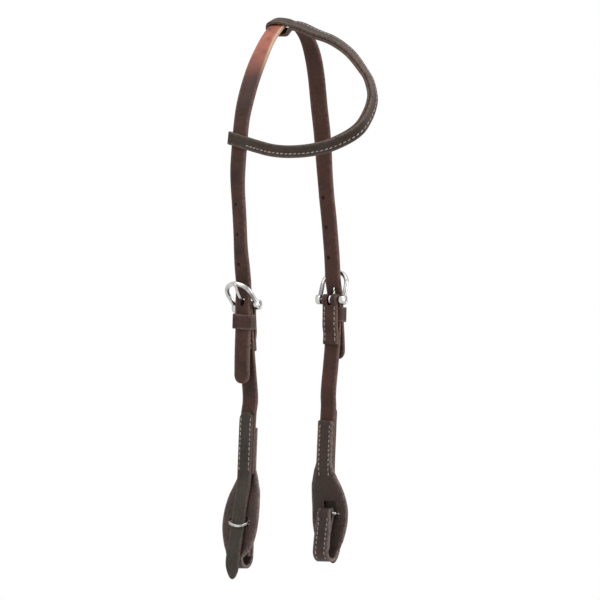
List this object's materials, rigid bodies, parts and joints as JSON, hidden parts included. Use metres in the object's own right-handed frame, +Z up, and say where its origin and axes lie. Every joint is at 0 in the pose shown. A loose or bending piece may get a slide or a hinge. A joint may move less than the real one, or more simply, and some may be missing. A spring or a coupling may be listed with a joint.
{
  "type": "western headstall",
  "caption": "Leather bridle headstall with a stitched sliding ear loop, buckled cheek straps and quick-change bit ends closed by tabs through wire rings.",
  "frame": {"origin": "underside of the crown strap at its apex, where it rests on the horse's poll", "axes": "+Z up along the hanging straps, +X towards the ear loop, +Y towards the cheek without the ear loop"},
  "size_m": [0.148, 0.1872, 0.5222],
  "materials": {
    "strap_leather": "oiled dark brown, semi-gloss",
    "dark_leather": "oiled near-black brown, semi-gloss",
    "lining_leather": "red-brown, matt",
    "bright_steel": "polished stainless steel"
  },
  "bodies": {
    "headstall": {"crown_strap": "strap_leather", "near_cheek_strap": "strap_leather", "near_keeper": "dark_leather", "near_bit_strap": "dark_leather", "near_locking_tab": "strap_leather", "far_cheek_strap": "strap_leather", "far_keeper": "dark_leather", "far_bit_strap": "dark_leather", "far_locking_tab": "strap_leather"},
    "ear_loop": {"ear_band": "strap_leather", "ear_lining": "lining_leather"},
    "near_buckle": {"near_buckle_frame": "bright_steel"},
    "near_tongue": {"near_buckle_tongue": "bright_steel"},
    "near_ring": {"near_lock_ring": "bright_steel"},
    "far_buckle": {"far_buckle_frame": "bright_steel"},
    "far_tongue": {"far_buckle_tongue": "bright_steel"},
    "far_ring": {"far_lock_ring": "bright_steel"}
  },
  "joints": [
    {"name": "ear_slide", "type": "hinge", "parent": "headstall", "child": "ear_loop", "pos_m": [0, 0.01903, -0.12322], "axis": [1, 0, 0], "range_deg": [-3, 3]},
    {"name": "near_buckle_swing", "type": "hinge", "parent": "headstall", "child": "near_buckle", "pos_m": [0.00903, -0.0865, -0.2609], "axis": [1, 0, 0], "range_deg": [0, 6]},
    {"name": "near_tongue_swing", "type": "hinge", "parent": "near_buckle", "child": "near_tongue", "pos_m": [0.00903, -0.0865, -0.2609], "axis": [1, 0, 0], "range_deg": [0, 5]},
    {"name": "near_ring_lift", "type": "hinge", "parent": "headstall", "child": "near_ring", "pos_m": [0.0048, -0.08369, -0.46038], "axis": [-1, 0, 0], "range_deg": [0, 8]},
    {"name": "far_buckle_swing", "type": "hinge", "parent": "headstall", "child": "far_buckle", "pos_m": [0.00903, 0.0625, -0.2579], "axis": [-1, 0, 0], "range_deg": [0, 6]},
    {"name": "far_tongue_swing", "type": "hinge", "parent": "far_buckle", "child": "far_tongue", "pos_m": [0.00903, 0.0625, -0.2579], "axis": [-1, 0, 0], "range_deg": [0, 5]},
    {"name": "far_ring_lift", "type": "hinge", "parent": "headstall", "child": "far_ring", "pos_m": [0.0048, 0.05969, -0.45738], "axis": [1, 0, 0], "range_deg": [0, 8]}
  ]
}
